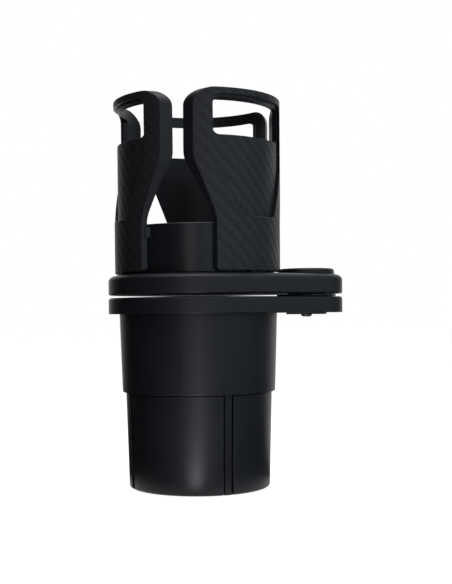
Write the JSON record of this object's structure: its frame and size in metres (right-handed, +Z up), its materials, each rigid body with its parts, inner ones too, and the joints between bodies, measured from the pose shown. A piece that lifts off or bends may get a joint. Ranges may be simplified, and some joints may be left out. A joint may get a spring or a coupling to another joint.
{
  "type": "car cup holder",
  "caption": "Two-tier car cup holder: stepped base cup with expanding grip jaws, swivelling offset plate above, and a shallow cup ringed by sliding windowed petals.",
  "frame": {"origin": "under the middle of the plan, in the plane of the base cover's lower face that the base stands on", "axes": "+Z up along both cups' axis; +X from the cups' axis to the swivel; the pictured front faces -Y"},
  "size_m": [0.1108, 0.0846, 0.1816],
  "materials": {
    "satin_black": "satin moulded black plastic",
    "inner_black": "smooth satin black plastic",
    "carbon_weave": "moulded twill weave pattern, semi-gloss",
    "dark_acetal": "smooth low-friction plastic",
    "black_steel": "black oxide"
  },
  "bodies": {
    "base": {"base_shell": "satin_black", "base_cover": "satin_black", "base_screw_1": "black_steel", "base_screw_2": "black_steel", "base_screw_3": "black_steel", "base_screw_4": "black_steel", "hub_cap": "satin_black", "pivot_screw": "black_steel", "glide_washer": "dark_acetal"},
    "jaw_dial": {"jaw_scroll": "dark_acetal"},
    "jaw_1": {"grip_jaw_1": "satin_black"},
    "jaw_2": {"grip_jaw_2": "satin_black"},
    "jaw_3": {"grip_jaw_3": "satin_black"},
    "jaw_4": {"grip_jaw_4": "satin_black"},
    "upper": {"upper_plate": "satin_black", "plate_cover": "satin_black", "inner_cup": "inner_black", "plate_screw_1": "black_steel", "plate_screw_2": "black_steel", "plate_screw_3": "black_steel", "cup_screw_1": "black_steel", "cup_screw_2": "black_steel", "cup_screw_3": "black_steel"},
    "petal_ring": {"petal_scroll": "dark_acetal"},
    "claw_1": {"petal_1": "carbon_weave", "petal_keeper_1": "dark_acetal"},
    "claw_2": {"petal_2": "carbon_weave", "petal_keeper_2": "dark_acetal"},
    "claw_3": {"petal_3": "carbon_weave", "petal_keeper_3": "dark_acetal"}
  },
  "joints": [
    {"name": "swivel", "type": "hinge", "parent": "base", "child": "upper", "pos_m": [0.0384, 0, 0.09], "axis": [0, 0, 1], "continuous": true},
    {"name": "petal_ring_turn", "type": "hinge", "parent": "upper", "child": "petal_ring", "pos_m": [-0.013, 0, 0.0942], "axis": [0, 0, 1], "range_deg": [0, 70]},
    {"name": "petal_1_slide", "type": "slide", "parent": "upper", "child": "claw_1", "axis": [0.7266, -0.6871, 0], "range_m": [0, 0.008]},
    {"name": "petal_2_slide", "type": "slide", "parent": "upper", "child": "claw_2", "axis": [0.2317, 0.9728, 0], "range_m": [0, 0.008]},
    {"name": "petal_3_slide", "type": "slide", "parent": "upper", "child": "claw_3", "axis": [-0.9583, -0.2857, 0], "range_m": [0, 0.008]},
    {"name": "jaw_dial_turn", "type": "hinge", "parent": "base", "child": "jaw_dial", "pos_m": [-0.013, 0, 0.0033], "axis": [0, 0, 1], "range_deg": [0, 60]},
    {"name": "jaw_1_slide", "type": "slide", "parent": "base", "child": "jaw_1", "axis": [0.9272, -0.3746, 0], "range_m": [0, 0.005]},
    {"name": "jaw_2_slide", "type": "slide", "parent": "base", "child": "jaw_2", "axis": [0.3746, 0.9272, 0], "range_m": [0, 0.005]},
    {"name": "jaw_3_slide", "type": "slide", "parent": "base", "child": "jaw_3", "axis": [-0.9272, 0.3746, 0], "range_m": [0, 0.005]},
    {"name": "jaw_4_slide", "type": "slide", "parent": "base", "child": "jaw_4", "axis": [-0.3746, -0.9272, 0], "range_m": [0, 0.005]}
  ],
  "couplings": [
    {"joint": "petal_1_slide", "follows": "petal_ring_turn", "m_per_rad": 0.006548},
    {"joint": "petal_2_slide", "follows": "petal_ring_turn", "m_per_rad": 0.006548},
    {"joint": "petal_3_slide", "follows": "petal_ring_turn", "m_per_rad": 0.006548},
    {"joint": "jaw_1_slide", "follows": "jaw_dial_turn", "m_per_rad": 0.004774},
    {"joint": "jaw_2_slide", "follows": "jaw_dial_turn", "m_per_rad": 0.004774},
    {"joint": "jaw_3_slide", "follows": "jaw_dial_turn", "m_per_rad": 0.004774},
    {"joint": "jaw_4_slide", "follows": "jaw_dial_turn", "m_per_rad": 0.004774}
  ]
}
